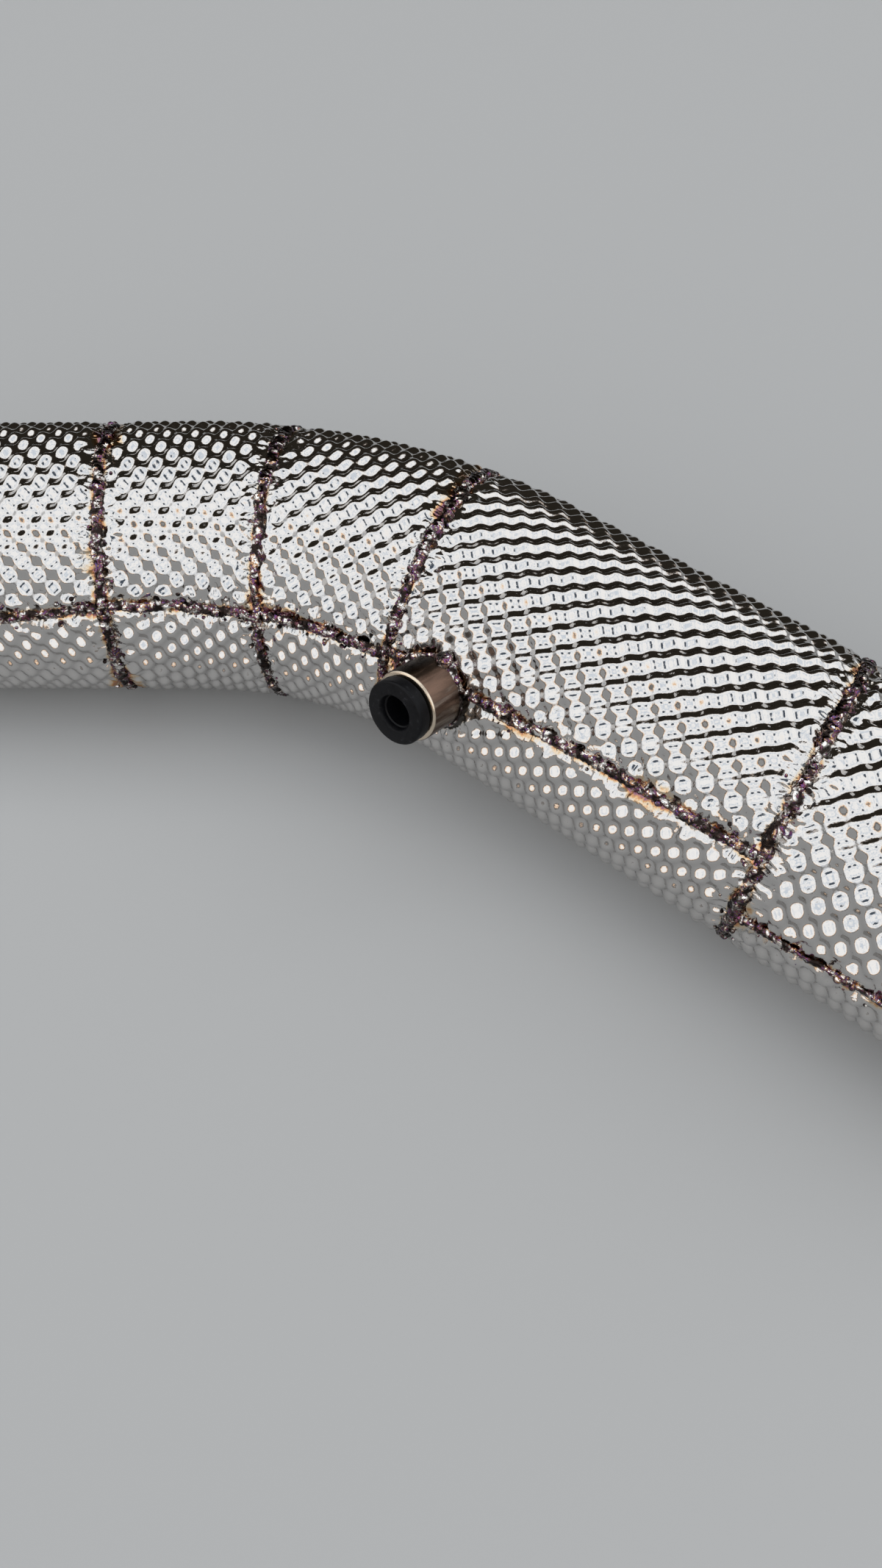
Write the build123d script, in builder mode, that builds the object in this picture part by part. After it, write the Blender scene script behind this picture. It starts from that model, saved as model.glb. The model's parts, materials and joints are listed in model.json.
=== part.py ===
from build123d import *
import os
from math import cos, degrees, radians, sin, tan

os.makedirs("parts", exist_ok=True)

# Heat-shielded exhaust mid pipe: a welded inner tube with one bend, wrapped in
# insulation and closed in a shield of formed foil halves, with a sensor bung.
# The origin is the centre of the inlet opening. +X runs down the inlet leg into the pipe,
# +Z is up and the outlet leg turns towards -Y. The pipe lies flat, so its lowest line is
# one shield radius below the origin. Lengths are millimetres and angles are degrees.
# A distance along the pipe is measured on its centreline from the inlet opening.
# A clock angle goes round the pipe from the outside of the bend, over the top.

# Inner tube
tube_diameter = 76.2
tube_wall = 1.5
inlet_leg = 180.7
bend_angle = 37.7
bend_radius = 204.0
elbow_inlet_tangent = 30.0
elbow_outlet_tangent = 60.0
butt_weld_height = 1.2
butt_weld_width = 5.0

# Shield of embossed foil: the wall is measured over the embossing
insulation_thickness = 13.0
shield_wall = 1.5
lip_drop = 2.0
lip_length = 7.0
seam_lip_angle = 6.5
bare_end = 45.0
cone_length = 14.0
inlet_section = 91.0
second_section = 67.4
third_section = 64.2
bend_section = 152.7
outlet_section = 106.0

# Each seam was cut by eye: swing turns it about the vertical and rake tips it back.
section_ends = [
    {"swing": 0.0, "rake": 0.0},
    {"swing": 5.1, "rake": 3.0},
    {"swing": 4.2, "rake": -1.1},
    {"swing": 3.7, "rake": 6.4},
    {"swing": 8.7, "rake": 6.8},
    {"swing": 0.0, "rake": 0.0},
]

# Where the two halves of each section meet on the inside of the bend
inlet_seam_clock = 163.0
second_seam_clock = 157.0
third_seam_clock = 157.5
bend_seam_clock = 149.0
outlet_seam_clock = 175.0

# Weld beads on the shield
ring_weld_radius = 2.4
ring_weld_sink = 2.8
seam_weld_radius = 1.8
seam_weld_sink = 2.3
cone_weld_leg = 2.5
cone_weld_height_share = 0.7
cone_weld_reach_share = 0.6

# Sensor bung and its plug
bung_distance = 316.5
bung_clock = 162.0
bung_diameter = 26.0
bung_stand_out = 12.5
bung_rim_chamfer = 1.0
port_diameter = 16.5
bung_weld_radius = 2.0
bung_weld_sink = 0.9
root_weld_radius = 1.8
plug_shank_clearance = 0.05
plug_shank_length = 9.0
plug_neck_diameter = 19.0
plug_neck_length = 1.0
plug_head_diameter = 22.8
plug_head_length = 5.0
plug_head_fillet = 0.9
plug_hollow_diameter = 11.0
plug_hollow_depth = 4.5

# Worked out from the sizes above
tube_radius = tube_diameter / 2
bore_radius = tube_radius - tube_wall
shield_inner_radius = tube_radius + insulation_thickness
shield_radius = shield_inner_radius + shield_wall
lip_radius = shield_radius - lip_drop
bend_length = bend_radius * radians(bend_angle)
bend_end = inlet_leg + bend_length
bend_axis = Axis((inlet_leg, -bend_radius, 0), (0, 0, -1))
inlet_joint = inlet_leg - elbow_inlet_tangent
outlet_joint = bend_end + elbow_outlet_tangent
shield_start = bare_end + cone_length
section_lengths = [inlet_section, second_section, third_section, bend_section, outlet_section]
seam_clocks = [
    inlet_seam_clock,
    second_seam_clock,
    third_seam_clock,
    bend_seam_clock,
    outlet_seam_clock,
]
marks = [shield_start + sum(section_lengths[:n]) for n in range(len(section_lengths) + 1)]
pipe_length = marks[-1] + cone_length + bare_end
section_count = len(section_lengths)


# Places along the pipe


def station(distance):
    """The plane square to the pipe: x to the outside of the bend, y up, z downstream."""
    turn = min(max(distance - inlet_leg, 0) / bend_radius, radians(bend_angle))
    before = min(distance, inlet_leg)
    after = max(distance - bend_end, 0)
    across = bend_radius * (1 - cos(turn)) + after * sin(turn)
    return Plane(
        origin=(before + bend_radius * sin(turn) + after * cos(turn), -across, 0),
        x_dir=(sin(turn), cos(turn), 0),
        z_dir=(cos(turn), -sin(turn), 0),
    )


def clocked(plane, clock):
    """The same plane with its x turned to a clock angle."""
    turned = plane.x_dir * cos(radians(clock)) + plane.y_dir * sin(radians(clock))
    return Plane(origin=plane.origin, x_dir=turned, z_dir=plane.z_dir)


def seam_station(number):
    """The tilted plane of the seam before section number + 1."""
    square = station(marks[number])
    swing = square.x_dir * tan(radians(section_ends[number]["swing"]))
    rake = square.y_dir * tan(radians(section_ends[number]["rake"]))
    lean = square.z_dir + swing - rake
    return Plane(origin=square.origin, x_dir=square.y_dir.cross(lean), z_dir=lean)


def seam_crossing(number, clock):
    """Where a tilted seam crosses the line along the pipe at a clock angle."""
    square = station(marks[number])
    outward = clocked(square, clock).x_dir
    slant = seam_station(number).z_dir
    bent = inlet_leg < marks[number] < bend_end
    stretch = 1 + lip_radius * outward.dot(square.x_dir) / bend_radius if bent else 1
    return marks[number] - lip_radius * slant.dot(outward) / slant.dot(square.z_dir) / stretch


def run(profile, start, end, clock=0.0):
    """Carries a profile along the pipe, straight on its legs and round its bend."""
    stops = [start] + [m for m in (inlet_leg, bend_end) if start < m < end] + [end]
    with BuildPart() as carried:
        for here, there in zip(stops, stops[1:]):
            with BuildSketch(clocked(station(here), clock)):
                add(profile)
            if inlet_leg <= here < bend_end:
                revolve(axis=bend_axis, revolution_arc=degrees((there - here) / bend_radius))
            else:
                extrude(amount=there - here)
    return carried.part


def taper(first_plane, first_profile, last_plane, last_profile, clock):
    """Joins two profiles on two planes by straight lines."""
    with BuildPart() as joined:
        with BuildSketch(clocked(first_plane, clock)):
            add(first_profile)
        with BuildSketch(clocked(last_plane, clock)):
            add(last_profile)
        loft(ruled=True)
    return joined.part


# Profiles, drawn on a plane square to the pipe and clocked so that x lies on the seam


def around(radius, clock):
    return (radius * cos(radians(clock)), radius * sin(radians(clock)))


def half_profile(radius, edge_radius, wall):
    """Half a shield section: an arc whose two edges are drawn in to the seams."""
    inner = radius - wall
    inner_edge = edge_radius - wall
    sweep = 180 - 2 * seam_lip_angle
    with BuildSketch() as half:
        with BuildLine():
            Line((edge_radius, 0), around(radius, seam_lip_angle))
            CenterArc((0, 0), radius, seam_lip_angle, sweep)
            Line(around(radius, 180 - seam_lip_angle), (-edge_radius, 0))
            Line((-edge_radius, 0), (-inner_edge, 0))
            Line((-inner_edge, 0), around(inner, 180 - seam_lip_angle))
            CenterArc((0, 0), inner, seam_lip_angle, sweep)
            Line(around(inner, seam_lip_angle), (inner_edge, 0))
            Line((inner_edge, 0), (edge_radius, 0))
        make_face()
    return half.sketch


def wrap_profile(radius, edge_radius):
    """The whole outline inside two shield halves."""
    sweep = 180 - 2 * seam_lip_angle
    with BuildSketch() as wrap:
        with BuildLine():
            for side in (0, 180):
                Line(around(edge_radius, side), around(radius, side + seam_lip_angle))
                CenterArc((0, 0), radius, side + seam_lip_angle, sweep)
                Line(around(radius, side + 180 - seam_lip_angle), around(edge_radius, side + 180))
        make_face()
    return wrap.sketch


def disc(radius):
    with BuildSketch() as face:
        Circle(radius)
    return face.sketch


half_body = half_profile(shield_radius, lip_radius, shield_wall)
half_lip = half_profile(lip_radius, lip_radius, shield_wall)
wrap_body = wrap_profile(shield_inner_radius, lip_radius - shield_wall)
wrap_lip = wrap_profile(lip_radius - shield_wall, lip_radius - shield_wall)


def lip_room(number):
    """How far from a tilted seam the square part of the section starts."""
    tilt = section_ends[number]
    lean = sin(radians(abs(tilt["swing"]))) + sin(radians(abs(tilt["rake"])))
    return lip_length + lean * shield_radius


def section_body(number, body, lip, clock):
    """One section from seam to seam, its ends drawn in to the lip."""
    first = marks[number] + lip_room(number)
    last = marks[number + 1] - lip_room(number + 1)
    with BuildPart() as section:
        add(taper(seam_station(number), lip, station(first), body, clock))
        add(run(body, first, last, clock))
        add(taper(station(last), body, seam_station(number + 1), lip, clock))
    return section.part


def finish(part, name):
    part.label = name
    export_step(part, f"parts/{name}.step")


# Bung plane: its z is the bung's axis, out of the pipe
bung_station = station(bung_distance)
bung_out = clocked(bung_station, bung_clock).x_dir
bung_plane = Plane(origin=bung_station.origin, x_dir=bung_station.z_dir, z_dir=bung_out)
bung_axis = Axis(bung_plane.origin, bung_plane.z_dir)
bung_radius = bung_diameter / 2
bung_front = shield_radius + bung_stand_out
bung_side = Plane(origin=bung_plane.origin, x_dir=bung_plane.x_dir, z_dir=-bung_plane.y_dir)


# Sensor bung: a turned boss, its foot shaped to the tube

with BuildPart() as tube_near_bung:
    add(run(disc(tube_radius), bung_distance - bung_diameter, bung_distance + bung_diameter))

with BuildPart() as sensor_bung:
    with BuildSketch(bung_plane):
        Circle(bung_radius)
        Circle(port_diameter / 2, mode=Mode.SUBTRACT)
    extrude(amount=bung_front)
    chamfer(sensor_bung.faces().sort_by(bung_axis)[-1].edges(), bung_rim_chamfer)
    add(tube_near_bung.part, mode=Mode.SUBTRACT)
finish(sensor_bung.part, "sensor_bung")

with BuildPart() as bung_hole:
    with BuildSketch(bung_plane):
        Circle(bung_radius)
    extrude(amount=bung_front)

with BuildPart() as port_hole:
    with BuildSketch(bung_plane):
        Circle(port_diameter / 2)
    extrude(amount=bung_front)

# Inner tube: the inlet and outlet tubes butt on a bent elbow with a straight at each end

for name, start, end in (
    ("inlet_tube", 0.0, inlet_joint),
    ("bend_tube", inlet_joint, outlet_joint),
    ("outlet_tube", outlet_joint, pipe_length),
):
    with BuildPart() as tube:
        add(run(disc(tube_radius), start, end))
        add(run(disc(bore_radius), start, end), mode=Mode.SUBTRACT)
        add(port_hole.part, mode=Mode.SUBTRACT)
    finish(tube.part, name)


# Weld rings


def ring_plane(square):
    """The plane through the pipe's axis that a ring's section is drawn on: x is up."""
    return Plane(origin=square.origin, x_dir=square.y_dir, z_dir=square.x_dir)


butt_welds = []
for name, distance in (("inlet_butt_weld", inlet_joint), ("outlet_butt_weld", outlet_joint)):
    with BuildPart() as butt_weld:
        with BuildSketch(ring_plane(station(distance))):
            with BuildLine():
                Line((tube_radius, -butt_weld_width / 2), (tube_radius, butt_weld_width / 2))
                ThreePointArc(
                    (tube_radius, butt_weld_width / 2),
                    (tube_radius + butt_weld_height, 0),
                    (tube_radius, -butt_weld_width / 2),
                )
            make_face()
        revolve(axis=Axis(station(distance).origin, station(distance).z_dir))
    finish(butt_weld.part, name)
    butt_welds.append(butt_weld.part)

ring_welds = []
for number in range(section_count + 1):
    square = seam_station(number)
    with BuildPart() as ring_weld:
        with BuildSketch(ring_plane(square)):
            with Locations((shield_radius - ring_weld_sink, 0)):
                Circle(ring_weld_radius)
        revolve(axis=Axis(square.origin, square.z_dir))
    ring_welds.append(ring_weld.part)

# Seam welds: two beads along each section, trimmed by the rings at its ends

with BuildSketch() as seam_bead:
    with Locations((shield_radius - seam_weld_sink, 0)):
        Circle(seam_weld_radius)

seam_welds = []
for number in range(section_count):
    pair = []
    for side in (0.0, 180.0):
        with BuildPart() as seam_weld:
            clock = seam_clocks[number] + side
            first = seam_crossing(number, clock) + ring_weld_radius / 2
            last = seam_crossing(number + 1, clock) - ring_weld_radius / 2
            add(run(seam_bead.sketch, first, last, clock))
            for ring in ring_welds[number : number + 2]:
                add(ring, mode=Mode.SUBTRACT)
            with BuildSketch(bung_plane):
                Circle(bung_radius + bung_weld_radius)
            extrude(amount=bung_front, mode=Mode.SUBTRACT)
        pair.append(seam_weld.part)
    seam_welds.append(pair)

# Ring round the bung where the shield is closed on it, and the root weld on the tube

collars = []
for name, height, radius in (
    ("bung_weld", shield_radius - bung_weld_sink, bung_weld_radius),
    ("bung_root_weld", tube_radius, root_weld_radius),
):
    with BuildPart() as collar:
        with BuildSketch(bung_side):
            with Locations((bung_radius, height)):
                Circle(radius)
        revolve(axis=bung_axis)
        add(bung_hole.part, mode=Mode.SUBTRACT)
        add(tube_near_bung.part, mode=Mode.SUBTRACT)
    finish(collar.part, name)
    collars.append(collar.part)

# Shield sections: an upper and a lower half over a wrap of insulation

for number in range(section_count):
    clock = seam_clocks[number]
    welds = ring_welds[number : number + 2] + seam_welds[number]
    for name, side in (("lower", 0.0), ("upper", 180.0)):
        with BuildPart() as shield:
            add(section_body(number, half_body, half_lip, clock + side))
            for part in welds + collars + [bung_hole.part]:
                add(part, mode=Mode.SUBTRACT)
        finish(shield.part, f"shield_{number + 1}_{name}")
    with BuildPart() as insulation:
        add(section_body(number, wrap_body, wrap_lip, clock))
        first = marks[number] - lip_room(number)
        last = marks[number + 1] + lip_room(number + 1)
        add(run(disc(tube_radius), first, last), mode=Mode.SUBTRACT)
        for part in welds + butt_welds + collars + [bung_hole.part]:
            add(part, mode=Mode.SUBTRACT)
    finish(insulation.part, f"insulation_{number + 1}")
    for side, part in zip(("inner", "outer"), seam_welds[number]):
        finish(part, f"seam_weld_{number + 1}_{side}")

for number, part in enumerate(ring_welds):
    finish(part, f"ring_weld_{number + 1}")

# End cones: pressed rings that close the shield down to the tube

for name, number, away in (("inlet", 0, -1), ("outlet", section_count, 1)):
    square = station(marks[number])
    foot = away * cone_length
    toe = foot + away * cone_weld_leg
    crest_height = tube_radius + cone_weld_height_share * shield_wall
    crest = foot + away * cone_weld_reach_share * cone_weld_leg
    with BuildPart() as cone:
        with BuildSketch(ring_plane(square)):
            with BuildLine():
                Polyline(
                    (lip_radius, 0),
                    (tube_radius + shield_wall, foot),
                    (tube_radius, foot),
                    (lip_radius - shield_wall, 0),
                    close=True,
                )
            make_face()
        revolve(axis=Axis(square.origin, square.z_dir))
        add(ring_welds[number], mode=Mode.SUBTRACT)
    finish(cone.part, f"{name}_cone")
    with BuildPart() as cone_weld:
        with BuildSketch(ring_plane(square)):
            with BuildLine():
                Line((tube_radius, toe), (tube_radius, foot))
                Line((tube_radius, foot), (tube_radius + shield_wall, foot))
                ThreePointArc(
                    (tube_radius + shield_wall, foot),
                    (crest_height, crest),
                    (tube_radius, toe),
                )
            make_face()
        revolve(axis=Axis(square.origin, square.z_dir))
    finish(cone_weld.part, f"{name}_cone_weld")

# Sensor plug: a rubber bung pushed into the port, its head seated on the rim by a neck

with BuildPart() as sensor_plug:
    with BuildSketch(bung_plane.offset(bung_front - plug_shank_length)):
        Circle(port_diameter / 2 - plug_shank_clearance)
    extrude(amount=plug_shank_length)
    with BuildSketch(bung_plane.offset(bung_front)):
        Circle(plug_neck_diameter / 2)
    extrude(amount=plug_neck_length)
    with BuildSketch(bung_plane.offset(bung_front + plug_neck_length)):
        Circle(plug_head_diameter / 2)
    extrude(amount=plug_head_length)
    fillet(sensor_plug.faces().sort_by(bung_axis)[-1].edges(), plug_head_fillet)
    with BuildSketch(bung_plane.offset(bung_front + plug_neck_length + plug_head_length)):
        Circle(plug_hollow_diameter / 2)
    extrude(amount=-plug_hollow_depth, mode=Mode.SUBTRACT)
finish(sensor_plug.part, "sensor_plug")
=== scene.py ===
import json
import math
import random

import bpy
import numpy as np
from mathutils import Matrix, Vector


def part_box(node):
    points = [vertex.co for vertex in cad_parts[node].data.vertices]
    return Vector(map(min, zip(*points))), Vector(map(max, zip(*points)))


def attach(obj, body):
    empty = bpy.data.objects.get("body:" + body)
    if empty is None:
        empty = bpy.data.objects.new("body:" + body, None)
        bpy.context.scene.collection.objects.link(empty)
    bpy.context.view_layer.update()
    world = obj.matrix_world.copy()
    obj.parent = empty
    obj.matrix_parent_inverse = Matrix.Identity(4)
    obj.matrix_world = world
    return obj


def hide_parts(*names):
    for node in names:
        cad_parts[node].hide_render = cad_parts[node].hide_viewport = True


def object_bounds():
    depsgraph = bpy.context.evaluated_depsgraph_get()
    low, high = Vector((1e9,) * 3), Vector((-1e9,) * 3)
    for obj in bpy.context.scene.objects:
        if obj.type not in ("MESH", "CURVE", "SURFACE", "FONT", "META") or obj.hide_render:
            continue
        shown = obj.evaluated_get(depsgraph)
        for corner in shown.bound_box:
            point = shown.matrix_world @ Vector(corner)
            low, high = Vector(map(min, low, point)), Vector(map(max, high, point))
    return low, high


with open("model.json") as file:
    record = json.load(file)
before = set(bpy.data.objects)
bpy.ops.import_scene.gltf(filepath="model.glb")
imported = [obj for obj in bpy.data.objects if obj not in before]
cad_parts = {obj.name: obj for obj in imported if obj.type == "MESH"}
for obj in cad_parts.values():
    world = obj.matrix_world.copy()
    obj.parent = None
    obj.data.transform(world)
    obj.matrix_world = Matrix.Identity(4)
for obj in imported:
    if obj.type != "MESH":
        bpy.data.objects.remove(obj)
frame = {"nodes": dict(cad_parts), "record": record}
cad_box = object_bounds()

# Heat-shielded exhaust pipe, in metres: the CAD frame's origin is the centre of the inlet,
# +X runs down the inlet leg and +Z is up. A distance is measured along the centreline, and
# a clock angle goes round the pipe from the outside of the bend, over the top.

# The pipe's centreline and shield, read from the frame
mounts = {m["name"]: m for m in frame["record"]["mounts"]}
outlet = mounts["outlet_bore"]
port = mounts["sensor_port"]
INLET_LEG = mounts["inlet_bore"]["dims"]["length_mm"] / 1000
OUTLET_LEG = outlet["dims"]["length_mm"] / 1000
TURN = math.atan2(-outlet["axis"][1], outlet["axis"][0])
BEND_RADIUS = (-outlet["pos_m"][1] - OUTLET_LEG * math.sin(TURN)) / (1 - math.cos(TURN))
BEND_END = INLET_LEG + BEND_RADIUS * TURN
SHIELD_RADIUS = -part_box("shield_1_lower")[0][2]
FLOOR = cad_box[0][2]
RING_COUNT = 6

# How the welds lie, in degrees: each ring's two tilts, and each seam's clock angle at its ends.
# The rings' tilts are measured at RING_RADIUS.
RING_TILTS = ((0, 0), (5.1, 3.0), (4.2, -1.1), (3.7, 6.4), (8.7, 6.8), (0, 0))
SEAM_CLOCKS = ((167.0, 157.5), (155.5, 157.5), (156.0, 158.5), (156.0, 148.8), (178.3, 174.5))
RING_RADIUS = SHIELD_RADIUS - 0.002

# Embossing of the foil: the lattice's two pitches, its depth, the mesh's step, and how much of
# the bend's stretch the rows take up
PITCH_ALONG = 0.0106
PITCH_AROUND = 0.01015
EMBOSS_DEPTH = 0.0026
FOIL_STEP = 0.00068
STRETCH_SHARE = 0.5

# Foil beside a weld: the drop of its edge, how far the weld's reach wanders, and the distances
# between which the bumps come up and the crinkles die out
LIP_DROP = 0.0013
LIP_REACH = 0.0055
WELD_WANDER = 0.0024
WELD_WANDER_RATE = 160
BUMPS_FROM, BUMPS_FULL = 0.0004, 0.0088
CRINKLES_FULL, CRINKLES_TO = 0.002, 0.0115

# Crinkles: their height, ridge and fall, the share of the fine folds, and the cells per metre
# along and round the pipe of the wide and the fine folds, beside a ring weld and beside a seam
CRINKLE = 0.00085
CRINKLE_RIDGE = 0.55
CRINKLE_FALL = 1.5
FINE_SHARE = 0.6
RING_FOLDS = ((190, 520), (420, 900))
SEAM_FOLDS = ((520, 190), (900, 420))

# The blanket's inner and outer radius, how far its ends stay from the ring welds, and its
# clearance round the bung
BLANKET_RADII = (0.0385, SHIELD_RADIUS - 0.0045)
BLANKET_SETBACK = 0.0035
BLANKET_CLEARANCE = 0.003

# Each half's rows: slant in degrees, and the distance and clock angle of one bump
ROWS = {
    (1, "upper"): (0.0, 0.1325, 145.3),
    (1, "lower"): (-4.5, 0.1279, 171.6),
    (2, "upper"): (1.0, 0.17875, 141.8),
    (2, "lower"): (8.0, 0.18375, 174.3),
    (3, "upper"): (-3.0, 0.2594, 87.2),
    (3, "lower"): (-1.0, 0.2579, 177.0),
    (4, "upper"): (4.4, 0.335, 109.4),
    (4, "lower"): (9.3, 0.370, 166.2),
    (5, "upper"): (-4.5, 0.4707, 149.8),
    (5, "lower"): (0.0, 0.4654, 183.9),
}

# Weld beads: half widths, the seams' by section, and how deep their middles lie
RING_BEAD = 0.0025
RING_SINK = 0.0026
SEAM_BEADS = (0.0020, 0.0021, 0.0021, 0.0022, 0.0014)
SEAM_SINK = 0.0021
BUNG_BEAD = 0.00171
BUNG_BEAD_SINK = 0.0012

# All beads: height as a share of the half width, depth of a seam bead's mean top, highest top,
# the mesh's step along a bead and faces round it, and how far a seam bead's ends taper
BEAD_RISE = 0.85
BEAD_COVER = 0.0005
BEAD_TOP = SHIELD_RADIUS - 0.0001
BEAD_STEP = 0.0007
BEAD_SIDES = 14
SEAM_TAPER = 0.002

# A bead's raggedness, in shares of its half width, with a pitch or cells per metre
BEAD_MEAN = 0.92
WAVES, WAVE_PITCH = 0.10, 0.0021
LUMPS, LUMP_RATE = 0.38, 260
GRIT, GRIT_RATE = 0.14, 620

# How far the beads wander from their lines, and the cells per metre
RING_WANDER, RING_WANDER_RATE = 0.0006, 70
SEAM_WANDER, SEAM_WANDER_RATE = 0.0009, 60

# Size of the bung weld round the bung: angles in degrees, and a factor at each
BUNG_BEAD_SIZES = (
    (0, 37, 55, 66, 78, 90, 102, 130, 143, 155, 170, 200, 270, 310, 360),
    (0.3, 0.6, 0.8, 1.2, 2.2, 1.3, 0.5, 0.5, 1.2, 1.7, 1.1, 0.9, 0.9, 0.5, 0.3),
)

# Sensor bung: its sizes, its own directions out, along the pipe and round it, and its place
BUNG_SECTION = 4
BUNG_RADIUS = 0.013
PORT_RADIUS = 0.0083
BUNG_STAND = 0.0125
TUBE_RADIUS = 0.0381
BUNG_OUT = Vector(port["axis"])
BUNG_ALONG = Vector((math.cos(TURN), -math.sin(TURN), 0))
BUNG_ROUND = BUNG_OUT.cross(BUNG_ALONG)
BUNG_FRONT = Vector(port["pos_m"])
BUNG_FOOT = BUNG_FRONT - BUNG_OUT * (SHIELD_RADIUS + BUNG_STAND)

# Where the foil gapes at the bung: the middle of the gap, its width, and the cosines between
# which it opens. Elsewhere the foil and the seam's bead lap the bung's wall.
GAPE_ANGLE = math.radians(-20)
GAPE = 0.0018
GAPE_COSINES = (0.55, 0.85)
FOIL_LAP = 0.0006
BEAD_LAP = 0.0003

# Spatter per seam or ring: how many, and how far from the weld's line. Then the radii, the depth
# of the balls, how steeply the end cones fall away, and the clearance round the bung.
SEAM_BALLS = (18, 0.002, 0.0055)
SEAM_DROPS = (16, 0.0, 0.001)
RING_BALLS = (30, 0.002, 0.006)
RING_DROPS = (34, 0.0, 0.0013)
BALL_SIZES = (0.0004, 0.0010)
DROP_SIZES = (0.0010, 0.0019)
BALL_SINK = 0.0014
CONE_FALL = 0.8
SPATTER_CLEARANCE = 0.0012

# Points this close are one, edges past this angle stay sharp, and a random field repeats after
# this many cells
MERGE = 0.00001
SHARP_ANGLE = math.radians(40)
RIPPLE_CELLS = 97

# The view: a camera on the photograph's line, its lens from the vertical field of view
CAMERA_PLACE = (0.3105, -0.3773, 0.3674)
CAMERA_AHEAD = (-0.06536, 0.58672, -0.80715)
CAMERA_RIGHT = (0.99782, 0.04545, -0.04777)
FIELD_OF_VIEW = 61.2

# Light: the sky's strength, and a dark patch on the far side: its middle and half its width
SKY_STRENGTH = 1.55
PATCH_AZIMUTH = math.radians(-6)
PATCH_HEIGHT = math.radians(8)
PATCH_EDGE = math.cos(math.radians(52))
PATCH_COLOUR = (0.020, 0.017, 0.013, 1)
PATCH_SIDE = (
    math.sin(PATCH_AZIMUTH) * math.cos(PATCH_HEIGHT),
    math.cos(PATCH_AZIMUTH) * math.cos(PATCH_HEIGHT),
    math.sin(PATCH_HEIGHT),
)

# A dark card over the camera, and the middle of the warm part of the horizon
HOOD_SIDE = (0.0, -0.46, 0.888)
HOOD_COLOUR = (0.07, 0.09, 0.12, 1)
GLOW_SIDE = (-0.643, -0.766, 0)

# CAD solids that stay as they are, by finish
STEEL_NODES = ("inlet_tube", "bend_tube", "outlet_tube", "inlet_cone", "outlet_cone")
WELD_NODES = (
    "inlet_cone_weld",
    "outlet_cone_weld",
    "inlet_butt_weld",
    "outlet_butt_weld",
    "bung_root_weld",
)


# Shader maths: a value wraps a socket, and expressions add the nodes


class Value:
    def __init__(self, tree, socket):
        self.tree = tree
        self.socket = socket

    def node(self, kind, settings=None, **values):
        made = self.tree.nodes.new(kind)
        for name, value in (settings or {}).items():
            if name == "stops":
                ramp = made.color_ramp
                while len(ramp.elements) < len(value):
                    ramp.elements.new(0.5)
                for element, (place, colour) in zip(ramp.elements, value):
                    element.position = place
                    element.color = (*colour, 1)
            else:
                setattr(made, name, value)
        for name, value in values.items():
            key = int(name[1:]) if name[0] == "_" else name.replace("_", " ")
            if isinstance(value, Value):
                self.tree.links.new(value.socket, made.inputs[key])
            else:
                made.inputs[key].default_value = value
        return made

    def math(self, operation, other=0.0, clamp=False):
        settings = {"operation": operation, "use_clamp": clamp}
        made = self.node("ShaderNodeMath", settings, _0=self, _1=other)
        return Value(self.tree, made.outputs[0])

    def __add__(self, other):
        return self.math("ADD", other)

    def __sub__(self, other):
        return self.math("SUBTRACT", other)

    def __rsub__(self, other):
        return (self * -1.0) + other

    def __mul__(self, other):
        return self.math("MULTIPLY", other)

    def clamped(self):
        return self.math("ADD", 0.0, clamp=True)

    def ramp(self, *stops):
        made = self.node("ShaderNodeValToRGB", {"stops": stops}, Fac=self)
        return Value(self.tree, made.outputs[0])

    def between(self, low, high):
        """0 below low, 1 above high, smooth in the middle."""
        made = self.node(
            "ShaderNodeMapRange",
            {"interpolation_type": "SMOOTHSTEP"},
            Value=self,
            From_Min=low,
            From_Max=high,
        )
        return Value(self.tree, made.outputs[0])

    def mix(self, first, second):
        """The first colour where this is 0 and the second where it is 1."""
        made = self.node("ShaderNodeMix", {"data_type": "RGBA"}, _0=self, _6=first, _7=second)
        return Value(self.tree, made.outputs[2])


def dot(root, vector, direction):
    made = root.node("ShaderNodeVectorMath", {"operation": "DOT_PRODUCT"}, _0=vector, _1=direction)
    return Value(root.tree, made.outputs["Value"])


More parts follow.
